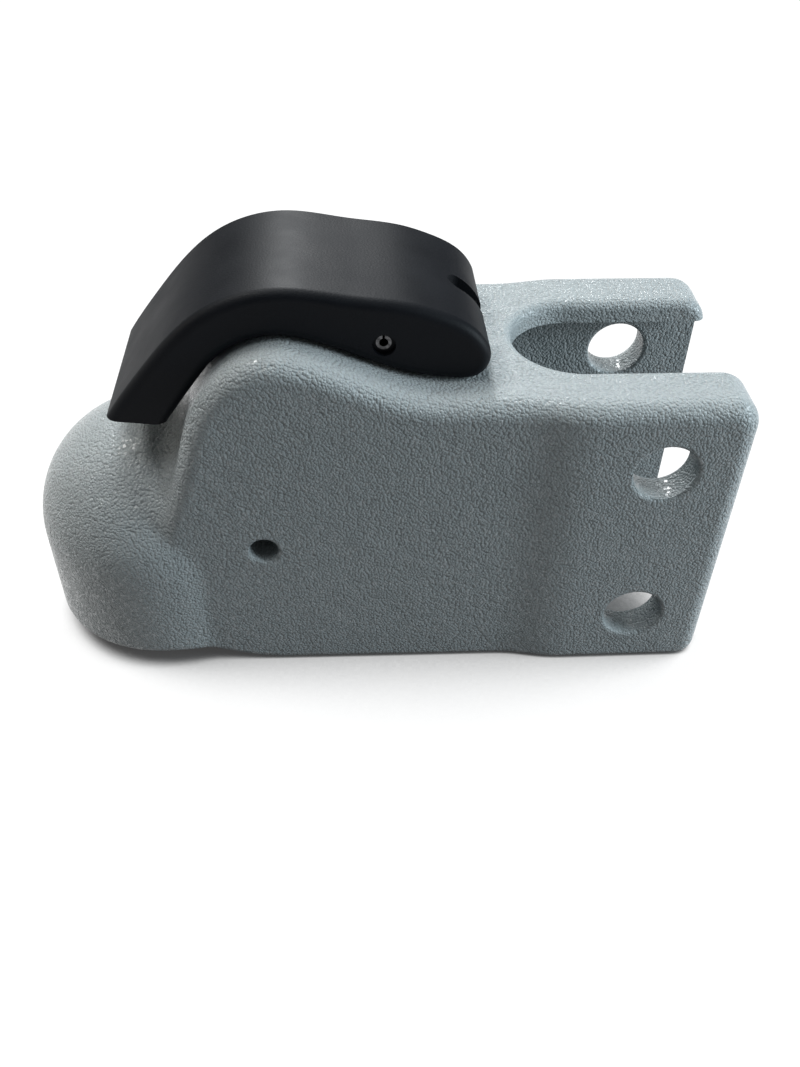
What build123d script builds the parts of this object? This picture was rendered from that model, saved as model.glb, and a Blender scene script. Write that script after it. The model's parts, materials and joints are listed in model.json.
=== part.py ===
from build123d import *
import math
import os

os.makedirs("parts", exist_ok=True)

# Hitch ball and its socket, with the ball centre as the origin
ball_dia = 58.7
socket_clearance = 0.5
ball_height = 38.0
socket_r = ball_dia / 2 + socket_clearance
base_z = -ball_height

# Outside of the casting, from the socket out to the bolt plates
dome_wall = 13.05
dome_z = 4.2
cheek_step = 3.5
cheek_spread = 1.2
plate_step = 3.0
dome_r = socket_r + dome_wall
cheek_front_half = dome_r - cheek_step
cheek_rear_half = cheek_front_half + cheek_spread
half_width = cheek_rear_half + plate_step
cheek_end_x = 125.0
bend_run = 15.0
rear_x = 195.8
top_z = 73.8
rim_z = -30.0
foot_start_x = 0.0
foot_end_x = 44.0
front_in_x = 1.0
front_in_z = 13.5
past = 12.0
low_z = base_z - past

# Hump, from its tail on the flat roof over its top and down into the dome
hump_tail_x = 100.0
hump_back = 53.2
hump_rise = 15.2
hump_front = 23.8
hump_drop = 15.0
hump_foot_x = 9.5
hump_foot_z = 37.0
hump_top_x = hump_tail_x - hump_back
hump_top_z = top_z + hump_rise
hump_dive_x = hump_top_x - hump_front
hump_dive_z = hump_top_z - hump_drop

# Walls and rounded edges of the casting
plate_wall = 12.0
cheek_wall = 8.5
web_wall = 8.0
edge_round = 6.5
dome_blend = 10.0
top_corner = 10.0
low_corner = 9.0
low_corner_turn = 65.0
low_round = 3.0
core_round = 4.0
slot_round = 3.5
mouth_round = 1.3
bend_share = 0.32
core_cheek = cheek_front_half - cheek_wall
core_plate = half_width - plate_wall
core_high = top_z - web_wall
low_corner_x = rear_x - low_corner * math.sin(math.radians(low_corner_turn))
low_corner_z = base_z + low_corner * (1 - math.cos(math.radians(low_corner_turn)))
plate_start_x = cheek_end_x + bend_run
outer_bend = bend_share * bend_run / math.tan(math.atan2(half_width - cheek_rear_half, bend_run) / 2)
core_turn = math.atan2(abs(core_plate - core_cheek), bend_run)
core_bend = bend_share * bend_run / math.tan(core_turn / 2)

# Bolt holes, top slot and lock hole
bolt_x = 168.5
bolt_upper_z = 48.5
bolt_spacing = 63.5
bolt_hole_dia = 20.6
slot_half = 21.5
slot_front_x = 123.0
lock_x = 39.0
lock_z = 16.1
lock_hole_dia = 9.5

# Handle hinge, roll pin and slide of the latch
nose_r = 7.4
heel_gap = 0.3
hinge_x = 105.0
hinge_z = top_z + heel_gap + nose_r
pin_reach = 25.6
pin_rise = 5.7
pin_x = hinge_x - pin_reach
pin_z = hinge_z + pin_rise
lift_deg = 34.0
pin_dia = 4.76
pin_length = 51.0
pin_wall = 1.0
pin_slit = 0.7
pin_recess_dia = 7.2
run_gap = 0.35
lift = math.radians(lift_deg)
move_x = pin_reach - pin_reach * math.cos(lift) + pin_rise * math.sin(lift)
move_z = pin_rise * math.cos(lift) + pin_reach * math.sin(lift) - pin_rise
travel = math.hypot(move_x, move_z)
slide_sin = move_x / travel
slide_cos = move_z / travel
sagitta = math.hypot(pin_reach, pin_rise) * (1 - math.cos(lift / 2))
slide_plane = Plane((pin_x, 0, pin_z), x_dir=(slide_cos, 0, -slide_sin), z_dir=(0, -1, 0))
stem_plane = Plane((pin_x, 0, pin_z), x_dir=(slide_cos, 0, -slide_sin), z_dir=(slide_sin, 0, slide_cos))

# Latch, stem, spring and washer, measured along the slide from the roll pin
jaw_half = 22.0
jaw_front = -9.0
jaw_back = 20.0
jaw_top = -62.0
nose_z = -19.7
stem_dia = 14.0
eye_half = 6.0
roof_out = -12.0
roof_in = -20.0
stem_hole_dia = 16.0
spot_face_dia = 36.0
washer_dia = 27.0
washer_thick = 2.0
wire_dia = 3.0
coil_dia = 24.0
coil_turns = 6.5
bulkhead_wall = 9.0
shaft_gap = 0.4
spring_room_front = -24.0
room_wall = 11.4
flare = 4.0
flare_rise = 6.0
lip = 1.0
shaft_front = jaw_front - shaft_gap
shaft_back = jaw_back + shaft_gap
shaft_low = (low_z - pin_z) / slide_cos - past
core_front = shaft_back + bulkhead_wall
spring_room_half = cheek_front_half - room_wall

# Handle, from its tip over the crest to the round heel
handle_half = 27.5
handle_round = 3.5
handle_wall = 5.6
skirt_wall = 5.5
saddle_gap = 1.0
crest_shift = 3.2
crest_over = 16.3
tip_reach = 57.4
tip_drop = 43.5
tip_width = 18.7
tip_under = 2.1
shoulder_reach = 47.0
shoulder_drop = 8.7
heel_solid = 14.0
boss_dia = 12.0
boss_gap = 2.0
notch_half = 4.0
notch_front_x = 100.5
crest_x = hump_top_x + crest_shift
crest_z = hump_top_z + crest_over
tip_x = crest_x - tip_reach
tip_z = crest_z - tip_drop
heel_x = hinge_x + nose_r * math.cos(math.radians(25))
heel_z = hinge_z + nose_r * math.sin(math.radians(25))

# Outer block of the casting, side outline cut to the plan outline
with BuildPart() as outer_block:
    with BuildSketch(Plane.XZ) as side_outline:
        with BuildLine():
            hump = Spline(
                (hump_tail_x, top_z),
                (hump_top_x + 0.711 * hump_back, top_z + 0.164 * hump_rise),
                (hump_top_x + 0.462 * hump_back, top_z + 0.507 * hump_rise),
                (hump_top_x + 0.165 * hump_back, top_z + 0.901 * hump_rise),
                (hump_top_x, hump_top_z),
                (hump_top_x - 0.370 * hump_front, hump_top_z - 0.127 * hump_drop),
                (hump_top_x - 0.664 * hump_front, hump_top_z - 0.393 * hump_drop),
                (hump_dive_x, hump_dive_z),
                (hump_foot_x, hump_foot_z),
                tangents=[(-1, 0), (-0.34, -0.94)],
            )
            Polyline(
                (hump_foot_x, hump_foot_z),
                (front_in_x, front_in_z),
                (front_in_x, low_z),
                (rear_x, low_z),
                (rear_x, top_z),
                (hump_tail_x, top_z),
            )
        make_face()
        fillet(side_outline.vertices().sort_by(lambda v: v.X + v.Y)[-1], radius=top_corner)
    extrude(amount=half_width + past, both=True)
    with BuildSketch(Plane.XY.offset(low_z - past)) as plan_outline:
        with BuildLine():
            Polyline(
                (0, -cheek_front_half),
                (cheek_end_x, -cheek_rear_half),
                (plate_start_x, -half_width),
                (rear_x + past, -half_width),
                (rear_x + past, half_width),
                (plate_start_x, half_width),
                (cheek_end_x, cheek_rear_half),
                (0, cheek_front_half),
                close=True,
            )
        make_face()
        bends = plan_outline.vertices().filter_by(lambda v: cheek_end_x - 1 < v.X < plate_start_x + 1)
        fillet(bends, radius=outer_bend)
    extrude(amount=hump_top_z - low_z + 3 * past, mode=Mode.INTERSECT)

# Core that hollows the casting behind the latch, open at the rear and below
with BuildPart() as rear_core:
    with BuildSketch(Plane.XZ):
        with BuildLine():
            core_low_x = pin_x + (core_front + (low_z - pin_z) * slide_sin) / slide_cos
            core_high_x = pin_x + (core_front + (core_high - pin_z) * slide_sin) / slide_cos
            Polyline(
                (core_low_x, low_z),
                (rear_x + past, low_z),
                (rear_x + past, core_high),
                (core_high_x, core_high),
                close=True,
            )
        make_face()
    extrude(amount=half_width, both=True)
    with BuildSketch(Plane.XY.offset(low_z - past)) as core_plan:
        with BuildLine():
            Polyline(
                (0, -core_cheek),
                (cheek_end_x, -core_cheek),
                (plate_start_x, -core_plate),
                (rear_x + 2 * past, -core_plate),
                (rear_x + 2 * past, core_plate),
                (plate_start_x, core_plate),
                (cheek_end_x, core_cheek),
                (0, core_cheek),
                close=True,
            )
        make_face()
        core_bends = core_plan.vertices().filter_by(lambda v: cheek_end_x - 1 < v.X < plate_start_x + 1)
        fillet(core_bends, radius=core_bend)
    extrude(amount=core_high - low_z + 3 * past, mode=Mode.INTERSECT)
    core_roof = rear_core.faces().sort_by(Axis.Z)[-1]
    core_slope = rear_core.faces().sort_by(Axis.X)[0]
    core_edges = core_roof.edges() + core_slope.edges()
    upper_edges = core_edges.filter_by(lambda e: e.center().Z > low_z + 1)
    fillet(upper_edges.filter_by(lambda e: e.center().X < rear_x + past - 1), radius=core_round)

# Cutters for the bolt holes and the lock hole, with eased mouths
bolt_r = bolt_hole_dia / 2
lock_r = lock_hole_dia / 2
lock_face = cheek_front_half + cheek_spread * lock_x / cheek_end_x
with BuildPart() as bolt_cutter:
    with BuildSketch(Plane.XY):
        with BuildLine():
            Polyline(
                (0, 0),
                (bolt_r + mouth_round, 0),
                (bolt_r + mouth_round, core_plate),
                (bolt_r + 0.5 * mouth_round, core_plate + 0.134 * mouth_round),
                (bolt_r + 0.134 * mouth_round, core_plate + 0.5 * mouth_round),
                (bolt_r, core_plate + mouth_round),
                (bolt_r, half_width - mouth_round),
                (bolt_r + 0.134 * mouth_round, half_width - 0.5 * mouth_round),
                (bolt_r + 0.5 * mouth_round, half_width - 0.134 * mouth_round),
                (bolt_r + mouth_round, half_width),
                (bolt_r + mouth_round, half_width + past),
                (0, half_width + past),
                close=True,
            )
        make_face()
    revolve(axis=Axis.Y)
    mirror(about=Plane.XZ)
with BuildPart() as lock_cutter:
    with BuildSketch(Plane.XY):
        with BuildLine():
            Polyline(
                (0, 0),
                (lock_r, 0),
                (lock_r, lock_face - mouth_round),
                (lock_r + 0.134 * mouth_round, lock_face - 0.5 * mouth_round),
                (lock_r + 0.5 * mouth_round, lock_face - 0.134 * mouth_round),
                (lock_r + mouth_round, lock_face),
                (lock_r + mouth_round, lock_face + past),
                (0, lock_face + past),
                close=True,
            )
        make_face()
    revolve(axis=Axis.Y)
    mirror(about=Plane.XZ)

# Casting: rounded block, ball dome, then everything that is hollowed or bored
with BuildPart() as coupler_body:
    add(outer_block.part)
    outline_faces = coupler_body.faces().filter_by(lambda f: abs(f.normal_at(f.center()).Y) < 0.5)
    side_edges = outline_faces.edges().filter_by(lambda e: abs(e.center().Y) > cheek_front_half - 1)
    cast_edges = side_edges.filter_by(lambda e: e.center().Z > low_z + 0.5)
    fillet(cast_edges, radius=edge_round)
    with BuildSketch(Plane.XZ):
        with BuildLine():
            Polyline((0, low_z), (dome_r, low_z), (dome_r, dome_z))
            RadiusArc((dome_r, dome_z), (0, dome_z + dome_r), -dome_r)
            Line((0, dome_z + dome_r), (0, low_z))
        make_face()
    revolve(axis=Axis.Z)
    junction = coupler_body.edges(Select.NEW)
    fillet(junction.filter_by(lambda e: e.center().Z > low_z + 1), radius=dome_blend)
    # underside, from the dome's rim down to the flat base
    with BuildSketch(Plane.XZ):
        with BuildLine():
            Line((-dome_r - past, rim_z), (foot_start_x, rim_z))
            Spline((foot_start_x, rim_z), (foot_end_x, base_z), tangents=[(1, 0), (1, 0)])
            Line((foot_end_x, base_z), (low_corner_x, base_z))
            RadiusArc((low_corner_x, base_z), (rear_x, low_corner_z), -low_corner)
            Polyline(
                (rear_x, low_corner_z),
                (rear_x + past, low_corner_z),
                (rear_x + past, low_z - past),
                (-dome_r - past, low_z - past),
                (-dome_r - past, rim_z),
            )
        make_face()
    extrude(amount=half_width + past, both=True, mode=Mode.SUBTRACT)
    low_edges = coupler_body.edges(Select.NEW)
    fillet(low_edges.filter_by(lambda e: e.center().X < low_corner_x), radius=low_round)
    # ball socket with its way in from below
    with BuildSketch(Plane.XZ):
        with BuildLine():
            RadiusArc((0, socket_r), (socket_r, 0), socket_r)
            Polyline(
                (socket_r, 0),
                (socket_r, rim_z + flare_rise),
                (socket_r + flare, rim_z + lip),
                (socket_r + flare, low_z),
                (0, low_z),
                (0, socket_r),
            )
        make_face()
    revolve(axis=Axis.Z, mode=Mode.SUBTRACT)
    # latch shaft and spring room
    with BuildSketch(slide_plane):
        with BuildLine():
            Polyline(
                (shaft_front, shaft_low),
                (shaft_back, shaft_low),
                (shaft_back, roof_in),
                (shaft_front, roof_in),
                close=True,
            )
        make_face()
    extrude(amount=jaw_half + shaft_gap, both=True, mode=Mode.SUBTRACT)
    with BuildSketch(slide_plane):
        with BuildLine():
            Polyline(
                (spring_room_front, jaw_top),
                (shaft_back, jaw_top),
                (shaft_back, roof_in),
                (spring_room_front, roof_in),
                close=True,
            )
        make_face()
    extrude(amount=spring_room_half, both=True, mode=Mode.SUBTRACT)
    with BuildSketch(stem_plane.offset(roof_in - lip)):
        Circle(stem_hole_dia / 2)
    extrude(amount=roof_out - roof_in + past, mode=Mode.SUBTRACT)
    with BuildSketch(stem_plane.offset(roof_out)):
        Circle(spot_face_dia / 2)
    extrude(amount=spot_face_dia, mode=Mode.SUBTRACT)
    # rear core and the round-ended slot in its roof
    add(rear_core.part, mode=Mode.SUBTRACT)
    with BuildSketch(Plane.XY.offset(top_z + past)):
        with Locations((slot_front_x + slot_half, 0)):
            Circle(slot_half)
        with Locations(((slot_front_x + slot_half + rear_x + past) / 2, 0)):
            Rectangle(rear_x + past - slot_front_x - slot_half, 2 * slot_half)
    extrude(amount=-(web_wall + 2 * past), mode=Mode.SUBTRACT)
    slot_edges = coupler_body.edges(Select.NEW).filter_by(lambda e: abs((e % 0.5).Z) < 0.9)
    fillet(slot_edges.filter_by(lambda e: e.center().Z > core_high + 0.1), radius=slot_round)
    # bolt holes through both plates, lock hole through both cheeks
    with Locations((bolt_x, 0, bolt_upper_z), (bolt_x, 0, bolt_upper_z - bolt_spacing)):
        add(bolt_cutter.part, mode=Mode.SUBTRACT)
    with Locations((lock_x, 0, lock_z)):
        add(lock_cutter.part, mode=Mode.SUBTRACT)
coupler_body.part.label = "coupler_body"
export_step(coupler_body.part, "parts/coupler_body.step")

# Latch: wedge jaw with a hollow face for the ball, stem and slotted eye
with BuildPart() as ball_latch:
    with BuildSketch(slide_plane):
        with BuildLine():
            nose_back_w = (nose_z - pin_z + jaw_back * slide_sin) / slide_cos
            nose_front_w = (nose_z - pin_z + jaw_front * slide_sin) / slide_cos
            Polyline(
                (jaw_front, jaw_top),
                (jaw_back, jaw_top),
                (jaw_back, nose_back_w),
                (jaw_front, nose_front_w),
                close=True,
            )
        make_face()
    extrude(amount=jaw_half, both=True)
    with BuildSketch(stem_plane.offset(jaw_top - lip)):
        Circle(stem_dia / 2)
    extrude(amount=lip - jaw_top)
    with BuildSketch(slide_plane):
        Circle(stem_dia / 2)
    extrude(amount=eye_half, both=True)
    Sphere(socket_r, mode=Mode.SUBTRACT)
    with Locations((-move_x, 0, 0)):
        Cylinder(socket_r, 2 * (pin_z - low_z), mode=Mode.SUBTRACT)
    with BuildSketch(slide_plane):
        with Locations((-sagitta / 2, 0)):
            SlotCenterToCenter(sagitta, pin_dia + 2 * run_gap)
    extrude(amount=stem_dia, both=True, mode=Mode.SUBTRACT)
    with BuildSketch(Plane.XZ):
        with Locations((lock_x, lock_z)):
            Circle(lock_hole_dia / 2)
    extrude(amount=jaw_half + past, both=True, mode=Mode.SUBTRACT)
ball_latch.part.label = "ball_latch"
export_step(ball_latch.part, "parts/ball_latch.step")

# Washer under the roof
with BuildPart() as spring_washer:
    with BuildSketch(stem_plane.offset(roof_in - washer_thick)):
        Circle(washer_dia / 2)
        Circle(stem_hole_dia / 2, mode=Mode.SUBTRACT)
    extrude(amount=washer_thick)
spring_washer.part.label = "spring_washer"
export_step(spring_washer.part, "parts/spring_washer.step")

# Compression spring with ground ends, between the jaw and the washer
spring_length = roof_in - washer_thick - jaw_top
coil_r = (coil_dia - wire_dia) / 2
spring_plane = stem_plane.offset(jaw_top)
with BuildPart() as latch_spring:
    with BuildLine():
        coil = Helix(
            spring_length / coil_turns,
            spring_length,
            coil_r,
            center=spring_plane.origin,
            direction=(slide_sin, 0, slide_cos),
        )
    with BuildSketch(Plane(origin=coil @ 0, z_dir=coil % 0)):
        RegularPolygon(wire_dia / 2, 8)
    sweep(path=coil, is_frenet=True)
    with BuildSketch(spring_plane):
        Circle(coil_dia)
    extrude(amount=spring_length, mode=Mode.INTERSECT)
latch_spring.part.label = "latch_spring"
export_step(latch_spring.part, "parts/latch_spring.step")

# Handle: arched cover with a hollow underside, round heel and a notch in it
saddle_points = []
for share in (0.05, 0.125, 0.24, 0.375, 0.45, 0.525, 0.6, 0.675):
    spot = hump @ share
    way = hump % share
    saddle_points.append((spot.X + saddle_gap * way.Y, spot.Y - saddle_gap * way.X))
with BuildPart() as latch_handle:
    with BuildSketch(Plane.XZ) as handle_side:
        with BuildLine():
            handle_top = Spline(
                (tip_x, tip_z),
                (tip_x + 0.059 * tip_reach, tip_z + 0.110 * tip_drop),
                (tip_x + 0.209 * tip_reach, tip_z + 0.361 * tip_drop),
                (tip_x + 0.397 * tip_reach, tip_z + 0.644 * tip_drop),
                (tip_x + 0.568 * tip_reach, tip_z + 0.832 * tip_drop),
                (tip_x + 0.807 * tip_reach, tip_z + 0.970 * tip_drop),
                (crest_x, crest_z),
                (crest_x + 0.415 * shoulder_reach, crest_z - 0.310 * shoulder_drop),
                (crest_x + 0.783 * shoulder_reach, crest_z - 0.609 * shoulder_drop),
                (crest_x + shoulder_reach, crest_z - shoulder_drop),
                (heel_x, heel_z),
                tangents=[(tip_reach, 1.99 * tip_drop), (0.42, -0.91)],
            )
            RadiusArc((heel_x, heel_z), (hinge_x, hinge_z - nose_r), nose_r)
            Spline(
                (hinge_x, hinge_z - nose_r),
                *saddle_points,
                (tip_x + tip_width, tip_z - tip_under),
                tangents=[(-1, 0), (-0.57, -0.82)],
            )
            Line((tip_x + tip_width, tip_z - tip_under), (tip_x, tip_z))
        make_face()
    extrude(amount=handle_half, both=True)
    top_faces = latch_handle.faces().filter_by(lambda f: abs(f.normal_at(f.center()).Y) < 0.5)
    roof_face = top_faces.sort_by(Axis.Z)[-1]
    roof_edges = roof_face.edges().filter_by(lambda e: abs(e.center().Y) > handle_half - 1)
    fillet(roof_edges, radius=handle_round)
    skin_points = []
    for share in (0.0, 0.05, 0.15, 0.25, 0.34, 0.44, 0.53, 0.64, 0.76):
        spot = handle_top @ share
        way = handle_top % share
        skin_points.append((spot.X + handle_wall * way.Y, spot.Y - handle_wall * way.X))
    with BuildSketch(Plane.XZ):
        with BuildLine():
            Spline(*skin_points)
            Polyline(
                skin_points[-1],
                (hinge_x - heel_solid, hinge_z + nose_r),
                (hinge_x - heel_solid, tip_z - tip_drop),
                (skin_points[0][0], tip_z - tip_drop),
                skin_points[0],
            )
        make_face()
    extrude(amount=handle_half - skirt_wall, both=True, mode=Mode.SUBTRACT)
    boss_length = handle_half - skirt_wall - eye_half - boss_gap
    with BuildSketch(Plane.XZ.offset(eye_half + boss_gap)):
        with Locations((pin_x, pin_z)):
            Circle(boss_dia / 2)
    extrude(amount=boss_length)
    with BuildSketch(Plane.XZ.offset(-eye_half - boss_gap)):
        with Locations((pin_x, pin_z)):
            Circle(boss_dia / 2)
    extrude(amount=-boss_length)
    with BuildSketch(Plane.XZ):
        with Locations((pin_x, pin_z)):
            Circle(pin_dia / 2)
    extrude(amount=handle_half + past, both=True, mode=Mode.SUBTRACT)
    with BuildSketch(Plane.XZ.offset(pin_length / 2)):
        with Locations((pin_x, pin_z)):
            Circle(pin_recess_dia / 2)
    extrude(amount=past, mode=Mode.SUBTRACT)
    with BuildSketch(Plane.XZ.offset(-pin_length / 2)):
        with Locations((pin_x, pin_z)):
            Circle(pin_recess_dia / 2)
    extrude(amount=-past, mode=Mode.SUBTRACT)
    with BuildSketch(Plane.XY.offset(top_z - past)):
        with Locations((notch_front_x + notch_half, 0)):
            Circle(notch_half)
        with Locations((notch_front_x + notch_half + past, 0)):
            Rectangle(2 * past, 2 * notch_half)
    extrude(amount=crest_z - top_z + 2 * past, mode=Mode.SUBTRACT)
latch_handle.part.label = "latch_handle"
export_step(latch_handle.part, "parts/latch_handle.step")

# Slit roll pin through the handle and the latch eye
with BuildPart() as handle_roll_pin:
    with BuildSketch(Plane.XZ):
        with Locations((pin_x, pin_z)):
            Circle(pin_dia / 2)
            Circle(pin_dia / 2 - pin_wall, mode=Mode.SUBTRACT)
        with Locations((pin_x, pin_z + pin_dia / 2)):
            Rectangle(pin_slit, pin_dia, mode=Mode.SUBTRACT)
    extrude(amount=pin_length / 2, both=True)
handle_roll_pin.part.label = "handle_roll_pin"
export_step(handle_roll_pin.part, "parts/handle_roll_pin.step")
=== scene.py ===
import json
import math

import bpy
from mathutils import Matrix, Vector


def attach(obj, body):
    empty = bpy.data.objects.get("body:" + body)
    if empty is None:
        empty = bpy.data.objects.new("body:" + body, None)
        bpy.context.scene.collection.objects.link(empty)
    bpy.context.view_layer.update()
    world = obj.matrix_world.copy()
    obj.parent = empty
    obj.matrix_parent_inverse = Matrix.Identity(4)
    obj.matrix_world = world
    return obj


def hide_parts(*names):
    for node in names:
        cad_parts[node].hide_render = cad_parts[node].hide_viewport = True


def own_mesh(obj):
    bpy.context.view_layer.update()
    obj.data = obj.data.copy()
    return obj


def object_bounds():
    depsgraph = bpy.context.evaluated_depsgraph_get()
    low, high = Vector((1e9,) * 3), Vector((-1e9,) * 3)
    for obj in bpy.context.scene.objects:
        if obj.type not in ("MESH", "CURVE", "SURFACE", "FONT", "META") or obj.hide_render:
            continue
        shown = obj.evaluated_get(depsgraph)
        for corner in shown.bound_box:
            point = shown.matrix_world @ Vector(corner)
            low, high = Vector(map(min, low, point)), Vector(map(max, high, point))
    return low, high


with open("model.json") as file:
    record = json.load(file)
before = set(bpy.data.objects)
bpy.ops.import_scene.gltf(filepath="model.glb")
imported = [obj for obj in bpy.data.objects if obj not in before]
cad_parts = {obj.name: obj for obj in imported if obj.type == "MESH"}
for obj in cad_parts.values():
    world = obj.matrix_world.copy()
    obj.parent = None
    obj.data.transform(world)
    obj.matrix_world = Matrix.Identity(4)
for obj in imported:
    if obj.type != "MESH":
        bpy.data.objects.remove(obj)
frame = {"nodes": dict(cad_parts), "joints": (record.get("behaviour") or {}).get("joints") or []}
cad_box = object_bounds()
nodes = frame["nodes"]


# The coupler body is one iron casting: ball dome, cheeks, humped roof and bolt plates.
# It is sand cast, so its skin is pebbled, and it is dipped in a grey enamel that
# lies duller in the hollows of the skin and glossy on the tops of its pebbles.
def link(tree, out_node, out_name, in_node, in_name):
    tree.links.new(out_node.outputs[out_name], in_node.inputs[in_name])


def math_node(tree, operation, first, second):
    node = tree.nodes.new("ShaderNodeMath")
    node.operation = operation
    for place, value in enumerate((first, second)):
        if isinstance(value, (int, float)):
            node.inputs[place].default_value = value
        else:
            tree.links.new(value, node.inputs[place])
    return node.outputs[0]


def spread(tree, value, low, high, to_low, to_high):
    """The value moved from the range low..high to to_low..to_high."""
    node = tree.nodes.new("ShaderNodeMapRange")
    for name, number in (
        ("From Min", low),
        ("From Max", high),
        ("To Min", to_low),
        ("To Max", to_high),
    ):
        node.inputs[name].default_value = number
    tree.links.new(value, node.inputs["Value"])
    return node.outputs[0]


def make_cast_skin():
    """Height of a sand-cast skin, and the grain in it, for every cast piece."""
    pebble_ratio = 0.6
    grain_part = 0.5
    pebble_part = 0.9
    lump_part = 1.3
    pit_part = -0.8
    pit_core = 0.035
    pit_rim = 0.075
    group = bpy.data.node_groups.new("cast_skin", "ShaderNodeTree")
    for name, way, kind in (
        ("Vector", "INPUT", "NodeSocketVector"),
        ("Grain Scale", "INPUT", "NodeSocketFloat"),
        ("Lump Scale", "INPUT", "NodeSocketFloat"),
        ("Height", "OUTPUT", "NodeSocketFloat"),
        ("Grain", "OUTPUT", "NodeSocketFloat"),
    ):
        group.interface.new_socket(name, in_out=way, socket_type=kind)
    inside = group.nodes.new("NodeGroupInput")
    outside = group.nodes.new("NodeGroupOutput")

    grain = group.nodes.new("ShaderNodeTexNoise")
    grain.inputs["Detail"].default_value = 1.0
    link(group, inside, "Vector", grain, "Vector")
    link(group, inside, "Grain Scale", grain, "Scale")

    pebbles = group.nodes.new("ShaderNodeTexVoronoi")
    link(group, inside, "Vector", pebbles, "Vector")
    pebble_scale = math_node(group, "MULTIPLY", inside.outputs["Grain Scale"], pebble_ratio)
    group.links.new(pebble_scale, pebbles.inputs["Scale"])

    lumps = group.nodes.new("ShaderNodeTexNoise")
    lumps.inputs["Detail"].default_value = 2.0
    link(group, inside, "Vector", lumps, "Vector")
    link(group, inside, "Lump Scale", lumps, "Scale")

    specks = group.nodes.new("ShaderNodeTexVoronoi")
    link(group, inside, "Vector", specks, "Vector")
    link(group, inside, "Lump Scale", specks, "Scale")
    pits = spread(group, specks.outputs["Distance"], pit_core, pit_rim, 1.0, 0.0)

    hollow = math_node(group, "POWER", pebbles.outputs["Distance"], 2.0)
    rounded = math_node(group, "SUBTRACT", 1.0, hollow)
    fine = math_node(group, "MULTIPLY", grain.outputs[0], grain_part)
    mixed = math_node(group, "ADD", fine, math_node(group, "MULTIPLY", rounded, pebble_part))
    broad = math_node(group, "MULTIPLY", lumps.outputs[0], lump_part)
    holes = math_node(group, "MULTIPLY", pits, pit_part)
    total = math_node(group, "ADD", math_node(group, "ADD", mixed, broad), holes)
    group.links.new(total, outside.inputs["Height"])
    group.links.new(mixed, outside.inputs["Grain"])
    return group


def lay_skin(tree, place, grain_scale, lump_scale):
    """The cast skin at a piece's own grain and lump scales, in cells per metre."""
    skin = tree.nodes.new("ShaderNodeGroup")
    skin.node_tree = cast_skin
    skin.inputs["Grain Scale"].default_value = grain_scale
    skin.inputs["Lump Scale"].default_value = lump_scale
    link(tree, place, "Object", skin, "Vector")
    return skin


def new_material(name):
    """A material with its own Principled shader and the piece's object coordinates."""
    material = bpy.data.materials.new(name)
    material.use_nodes = True
    tree = material.node_tree
    shader = tree.nodes["Principled BSDF"]
    place = tree.nodes.new("ShaderNodeTexCoord")
    return material, tree, shader, place


def tint(tree, shader, value, stops):
    """Base colour from a value, by (position, linear colour) stops."""
    node = tree.nodes.new("ShaderNodeValToRGB")
    while len(node.color_ramp.elements) < len(stops):
        node.color_ramp.elements.new(0.5)
    for element, (position, colour) in zip(node.color_ramp.elements, stops):
        element.position = position
        element.color = (*colour, 1.0)
    tree.links.new(value, node.inputs[0])
    link(tree, node, "Color", shader, "Base Color")


def raise_surface(tree, shader, height, depth, strength):
    bump = tree.nodes.new("ShaderNodeBump")
    bump.inputs["Distance"].default_value = depth
    bump.inputs["Strength"].default_value = strength
    tree.links.new(height, bump.inputs["Height"])
    link(tree, bump, "Normal", shader, "Normal")


def dress(node_name, material):
    mesh = nodes[node_name].data
    mesh.materials.clear()
    mesh.materials.append(material)


cast_skin = make_cast_skin()
grain_low = 0.75
grain_high = 1.3
enamel_relief = 0.0005
pebble_top_low = 1.0
pebble_top_high = 1.12
enamel, tree, shader, place = new_material("grey_enamel_on_casting")
skin = lay_skin(tree, place, grain_scale=1850.0, lump_scale=110.0)
tint(
    tree,
    shader,
    spread(tree, skin.outputs["Grain"], grain_low, grain_high, 0.0, 1.0),
    [
        (0.0, (0.335, 0.365, 0.372)),
        (0.45, (0.36, 0.394, 0.403)),
        (1.0, (0.376, 0.41, 0.42)),
    ],
)
dullness = spread(tree, skin.outputs["Grain"], grain_low, grain_high, 0.26, 0.13)
tree.links.new(dullness, shader.inputs["Roughness"])
raise_surface(tree, shader, skin.outputs["Height"], enamel_relief, 1.0)
shader.inputs["Specular IOR Level"].default_value = 0.22
gloss_skin = lay_skin(tree, place, grain_scale=1000.0, lump_scale=90.0)
glints = spread(
    tree, gloss_skin.outputs["Grain"], pebble_top_low, pebble_top_high, 0.03, 0.85
)
tree.links.new(glints, shader.inputs["Coat Weight"])
shader.inputs["Coat Roughness"].default_value = 0.27
dress("coupler_body", enamel)


# The latch is a steel casting too: a wedge jaw that holds the ball from behind,
# with a round stem that runs up to the handle. It is bare and slightly oiled.
latch_relief = 0.0002
latch_steel, tree, shader, place = new_material("bare_cast_steel")
skin = lay_skin(tree, place, grain_scale=900.0, lump_scale=160.0)
tint(
    tree,
    shader,
    spread(tree, skin.outputs["Grain"], grain_low, grain_high, 0.0, 1.0),
    [
        (0.0, (0.13, 0.125, 0.12)),
        (0.6, (0.24, 0.235, 0.23)),
        (1.0, (0.33, 0.325, 0.32)),
    ],
)
shader.inputs["Metallic"].default_value = 0.85
dullness = spread(tree, skin.outputs["Grain"], grain_low, grain_high, 0.6, 0.4)
tree.links.new(dullness, shader.inputs["Roughness"])
raise_surface(tree, shader, skin.outputs["Height"], latch_relief, 0.8)
dress("ball_latch", latch_steel)


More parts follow.
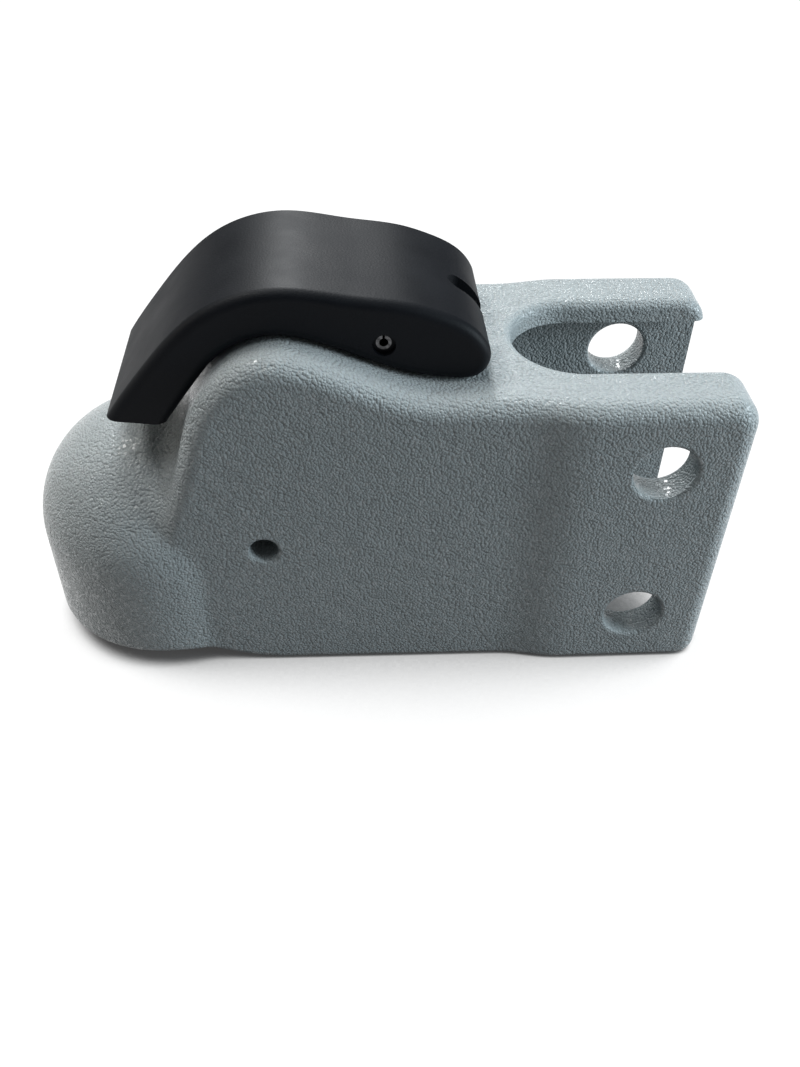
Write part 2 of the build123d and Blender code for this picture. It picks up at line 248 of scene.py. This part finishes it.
# The latch spring is coiled from round oiled wire with its ends ground flat.
# It stands around the stem, between the jaw's shoulder and the washer under the roof.
def make_coil_tree():
    """A ground-ended coil that stands on the origin along Z."""
    tree = bpy.data.node_groups.new("latch_coil", "GeometryNodeTree")
    sockets = tree.interface
    for name, kind in (
        ("Length", "NodeSocketFloat"),
        ("Coil Radius", "NodeSocketFloat"),
        ("Wire Radius", "NodeSocketFloat"),
        ("Turns", "NodeSocketFloat"),
        ("Tilt", "NodeSocketVector"),
        ("Seat", "NodeSocketVector"),
        ("Finish", "NodeSocketMaterial"),
    ):
        sockets.new_socket(name, in_out="INPUT", socket_type=kind)
    sockets.new_socket("Geometry", in_out="OUTPUT", socket_type="NodeSocketGeometry")
    inside = tree.nodes.new("NodeGroupInput")
    outside = tree.nodes.new("NodeGroupOutput")
    spiral = tree.nodes.new("GeometryNodeCurveSpiral")
    spiral.inputs["Resolution"].default_value = 40
    link(tree, inside, "Turns", spiral, "Rotations")
    link(tree, inside, "Coil Radius", spiral, "Start Radius")
    link(tree, inside, "Coil Radius", spiral, "End Radius")
    link(tree, inside, "Length", spiral, "Height")
    wire = tree.nodes.new("GeometryNodeCurvePrimitiveCircle")
    wire.inputs["Resolution"].default_value = 14
    link(tree, inside, "Wire Radius", wire, "Radius")
    tube = tree.nodes.new("GeometryNodeCurveToMesh")
    tube.inputs["Fill Caps"].default_value = True
    link(tree, spiral, "Curve", tube, "Curve")
    link(tree, wire, "Curve", tube, "Profile Curve")
    where = tree.nodes.new("GeometryNodeInputPosition")
    split = tree.nodes.new("ShaderNodeSeparateXYZ")
    link(tree, where, "Position", split, "Vector")
    ground = tree.nodes.new("ShaderNodeClamp")
    link(tree, split, "Z", ground, "Value")
    link(tree, inside, "Length", ground, "Max")
    joined = tree.nodes.new("ShaderNodeCombineXYZ")
    link(tree, split, "X", joined, "X")
    link(tree, split, "Y", joined, "Y")
    link(tree, ground, "Result", joined, "Z")
    flatten = tree.nodes.new("GeometryNodeSetPosition")
    link(tree, tube, "Mesh", flatten, "Geometry")
    link(tree, joined, "Vector", flatten, "Position")
    stand = tree.nodes.new("GeometryNodeTransform")
    link(tree, flatten, "Geometry", stand, "Geometry")
    link(tree, inside, "Seat", stand, "Translation")
    link(tree, inside, "Tilt", stand, "Rotation")
    real = tree.nodes.new("GeometryNodeRealizeInstances")
    link(tree, stand, "Geometry", real, "Geometry")
    coat = tree.nodes.new("GeometryNodeSetMaterial")
    link(tree, real, "Geometry", coat, "Geometry")
    link(tree, inside, "Finish", coat, "Material")
    link(tree, coat, "Geometry", outside, "Geometry")
    return tree


def mottle(tree, place, scale, detail):
    """Soft noise over a piece, at a scale in cells per metre."""
    node = tree.nodes.new("ShaderNodeTexNoise")
    node.inputs["Scale"].default_value = scale
    node.inputs["Detail"].default_value = detail
    link(tree, place, "Object", node, "Vector")
    return node.outputs[0]


spring_wire, tree, shader, place = new_material("oiled_spring_wire")
drawn = mottle(tree, place, scale=700.0, detail=3.0)
tint(tree, shader, drawn, [(0.3, (0.09, 0.085, 0.08)), (0.75, (0.2, 0.195, 0.19))])
shader.inputs["Metallic"].default_value = 1.0
tree.links.new(spread(tree, drawn, 0.3, 0.8, 0.28, 0.45), shader.inputs["Roughness"])

slide = next(joint for joint in frame["joints"] if joint["name"] == "latch_slide")
slide_way = Vector(slide["axis"]).normalized()
roll_pin_centre = Vector((0.0794, 0.0, 0.0872))
jaw_shoulder = 0.062
spring_length = 0.040
coil_radius = 0.0105
wire_radius = 0.0015
coil_turns = 6.5
spring_seat = roll_pin_centre - slide_way * jaw_shoulder
coil_tree = make_coil_tree()
latch_coil = bpy.data.objects.new("latch_coil", bpy.data.meshes.new("latch_coil"))
bpy.context.scene.collection.objects.link(latch_coil)
modifier = latch_coil.modifiers.new("coil", "NODES")
modifier.node_group = coil_tree
coil_values = {
    "Length": spring_length,
    "Coil Radius": coil_radius,
    "Wire Radius": wire_radius,
    "Turns": coil_turns,
    "Tilt": (0.0, math.atan2(slide_way.x, slide_way.z), 0.0),
    "Seat": tuple(spring_seat),
    "Finish": spring_wire,
}
for item in coil_tree.interface.items_tree:
    if item.in_out == "INPUT":
        modifier[item.identifier] = coil_values[item.name]
graph = bpy.context.evaluated_depsgraph_get()
latch_coil.data = bpy.data.meshes.new_from_object(latch_coil.evaluated_get(graph))
latch_coil.modifiers.clear()
latch_coil.data.polygons.foreach_set("use_smooth", [True] * len(latch_coil.data.polygons))
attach(latch_coil, "body")
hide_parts("latch_spring")
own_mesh(latch_coil)


# The washer between the spring and the roof is stamped from plated sheet.
# It lies loose around the stem and is held up against the roof by the spring.
plated, tree, shader, place = new_material("zinc_plate")
spangle = tree.nodes.new("ShaderNodeTexVoronoi")
spangle.inputs["Scale"].default_value = 420.0
link(tree, place, "Object", spangle, "Vector")
crystals = spangle.outputs["Distance"]
tint(tree, shader, crystals, [(0.0, (0.5, 0.49, 0.46)), (0.8, (0.62, 0.61, 0.58))])
shader.inputs["Metallic"].default_value = 1.0
tree.links.new(spread(tree, crystals, 0.0, 0.8, 0.3, 0.42), shader.inputs["Roughness"])
dress("spring_washer", plated)


# The handle is a black moulding of filled nylon, hollow below, that lies over the hump
# and rocks on its round heel. Its skin has the fine dull grain of a spark-eroded mould.
mould_relief = 0.0001
nylon, tree, shader, place = new_material("black_moulded_nylon")
mould_grain = mottle(tree, place, scale=1500.0, detail=2.0)
cloud = mottle(tree, place, scale=60.0, detail=4.0)
tint(tree, shader, cloud, [(0.3, (0.0042, 0.005, 0.0068)), (0.7, (0.006, 0.007, 0.0092))])
tree.links.new(spread(tree, cloud, 0.3, 0.7, 0.48, 0.56), shader.inputs["Roughness"])
shader.inputs["Specular IOR Level"].default_value = 0.1
raise_surface(tree, shader, mould_grain, mould_relief, 0.5)
dress("latch_handle", nylon)


# The roll pin is rolled from blackened spring strip, with a slit along it.
# It is driven through both sides of the handle and the slotted eye of the latch.
pin_steel, tree, shader, place = new_material("blackened_pin_steel")
scale_marks = mottle(tree, place, scale=900.0, detail=2.0)
tint(tree, shader, scale_marks, [(0.35, (0.05, 0.05, 0.052)), (0.7, (0.16, 0.16, 0.165))])
shader.inputs["Metallic"].default_value = 1.0
shader.inputs["Roughness"].default_value = 0.42
dress("handle_roll_pin", pin_steel)


# The stage is a plain white floor, white paper to the eye and dim to the lamps.
# Its white is dimmed by ambient occlusion into painted shade: a painted contact shadow
# under the casting, and painted shade, grey, where the casting closes it in,
# as between the two bolt plates. The dim floor also takes the real shadow.
floor_half = 4.0
floor_grey = 0.1
shade_reach = 0.13
shade_samples = 24
# Painted shade on the floor: ambient occlusion between these two values takes its white down to
# the deepest painted shade.
shade_closed = 0.36
shade_open = 0.62
deepest_painted_shade = 0.05
whitest_paper = 0.93
floor_mesh = bpy.data.meshes.new("floor")
floor_z = cad_box[0][2]
floor_mesh.from_pydata(
    [
        (-floor_half, -floor_half, floor_z),
        (floor_half, -floor_half, floor_z),
        (floor_half, floor_half, floor_z),
        (-floor_half, floor_half, floor_z),
    ],
    [],
    [(0, 1, 2, 3)],
)
floor = bpy.data.objects.new("floor", floor_mesh)
bpy.context.scene.collection.objects.link(floor)
floor_paper = bpy.data.materials.new("floor_paper")
floor_paper.use_nodes = True
tree = floor_paper.node_tree
tree.nodes.clear()
seen = tree.nodes.new("ShaderNodeLightPath")
direct = math_node(tree, "ADD", seen.outputs["Is Camera Ray"], seen.outputs["Is Glossy Ray"])
direct = math_node(tree, "ADD", direct, seen.outputs["Is Transmission Ray"])
paper = tree.nodes.new("ShaderNodeBsdfDiffuse")
paper.inputs["Color"].default_value = (floor_grey, floor_grey, floor_grey, 1.0)
# Painted shade: the floor's white glow is dimmed where ambient occlusion finds the casting
# close.
closed_in = tree.nodes.new("ShaderNodeAmbientOcclusion")
closed_in.inputs["Distance"].default_value = shade_reach
closed_in.samples = shade_samples
painted_shade_white = spread(
    tree, closed_in.outputs["AO"], shade_closed, shade_open, deepest_painted_shade, whitest_paper
)
white = tree.nodes.new("ShaderNodeEmission")
glow = math_node(tree, "MULTIPLY", math_node(tree, "MINIMUM", direct, 1.0), painted_shade_white)
tree.links.new(glow, white.inputs["Strength"])
both = tree.nodes.new("ShaderNodeAddShader")
tree.links.new(paper.outputs[0], both.inputs[0])
tree.links.new(white.outputs[0], both.inputs[1])
sheet = tree.nodes.new("ShaderNodeOutputMaterial")
tree.links.new(both.outputs[0], sheet.inputs["Surface"])
floor_mesh.materials.append(floor_paper)


# The studio gives an even pale light, and shows white where the floor ends.
# Soft lamps stand overhead, at the back and at both sides, all turned to the hump.
world = bpy.data.worlds.new("studio")
bpy.context.scene.world = world
world.use_nodes = True
tree = world.node_tree
tree.nodes.clear()
seen = tree.nodes.new("ShaderNodeLightPath")
fill = tree.nodes.new("ShaderNodeBackground")
fill.inputs["Color"].default_value = (0.93, 0.97, 1.0, 1.0)
fill.inputs["Strength"].default_value = 0.11
backdrop = tree.nodes.new("ShaderNodeBackground")
backdrop.inputs["Strength"].default_value = 1.0
mix = tree.nodes.new("ShaderNodeMixShader")
tree.links.new(seen.outputs["Is Camera Ray"], mix.inputs[0])
tree.links.new(fill.outputs[0], mix.inputs[1])
tree.links.new(backdrop.outputs[0], mix.inputs[2])
sky = tree.nodes.new("ShaderNodeOutputWorld")
tree.links.new(mix.outputs[0], sky.inputs["Surface"])


def soft_lamp(name, place, width, height, power, colour):
    data = bpy.data.lights.new(name, "AREA")
    data.shape = "RECTANGLE"
    data.size = width
    data.size_y = height
    data.energy = power
    data.color = colour
    lamp = bpy.data.objects.new(name, data)
    bpy.context.scene.collection.objects.link(lamp)
    lamp.location = place
    aim = lamp_target - Vector(place)
    lamp.rotation_euler = aim.to_track_quat("-Z", "Y").to_euler()


lamp_target = Vector((0.08, 0.0, 0.03))
soft_lamp(
    "overhead",
    place=(-0.05, 0.06, 1.1),
    width=1.0,
    height=0.6,
    power=6.5,
    colour=(0.95, 0.985, 1.0),
)
soft_lamp(
    "left_lamp",
    place=(-0.45, 0.22, 1.0),
    width=0.2,
    height=0.2,
    power=4.0,
    colour=(1.0, 0.985, 0.95),
)
soft_lamp(
    "ceiling_lamp",
    place=(0.03, 0.88, 0.78),
    width=0.2,
    height=0.2,
    power=11.0,
    colour=(0.97, 0.99, 1.0),
)
soft_lamp(
    "right_window",
    place=(1.0, -0.17, 0.36),
    width=0.5,
    height=0.5,
    power=10.0,
    colour=(0.8, 0.93, 1.0),
)
soft_lamp(
    "left_wall",
    place=(-0.95, 0.15, 0.5),
    width=0.6,
    height=0.6,
    power=2.0,
    colour=(1.0, 0.94, 0.86),
)


# The camera stands close above the right-hand cheek, as in the photograph.
# Its place and turn come from fitting the bolt holes, plates and handle to it.
photo_height = 1067
focal_pixels = 1000.4
camera_place = (0.0682, -0.2873, 0.2444)
pitch = math.radians(41.76)
yaw = math.radians(3.77)
roll = math.radians(1.15)
camera_data = bpy.data.cameras.new("photo_camera")
camera_data.sensor_fit = "AUTO"
camera_data.sensor_width = 36.0
camera_data.lens = focal_pixels / photo_height * camera_data.sensor_width
camera_data.clip_start = 0.01
camera = bpy.data.objects.new("photo_camera", camera_data)
bpy.context.scene.collection.objects.link(camera)
ahead = Vector(
    (
        math.sin(yaw) * math.cos(pitch),
        math.cos(yaw) * math.cos(pitch),
        -math.sin(pitch),
    )
)
level = Vector((math.cos(yaw), -math.sin(yaw), 0.0))
upright = level.cross(ahead)
right = math.cos(roll) * level + math.sin(roll) * upright
up = -math.sin(roll) * level + math.cos(roll) * upright
turn = Matrix((right, up, -ahead)).transposed()
camera.matrix_world = Matrix.Translation(camera_place) @ turn.to_4x4()
bpy.context.scene.camera = camera
bpy.context.scene.view_settings.view_transform = "Standard"
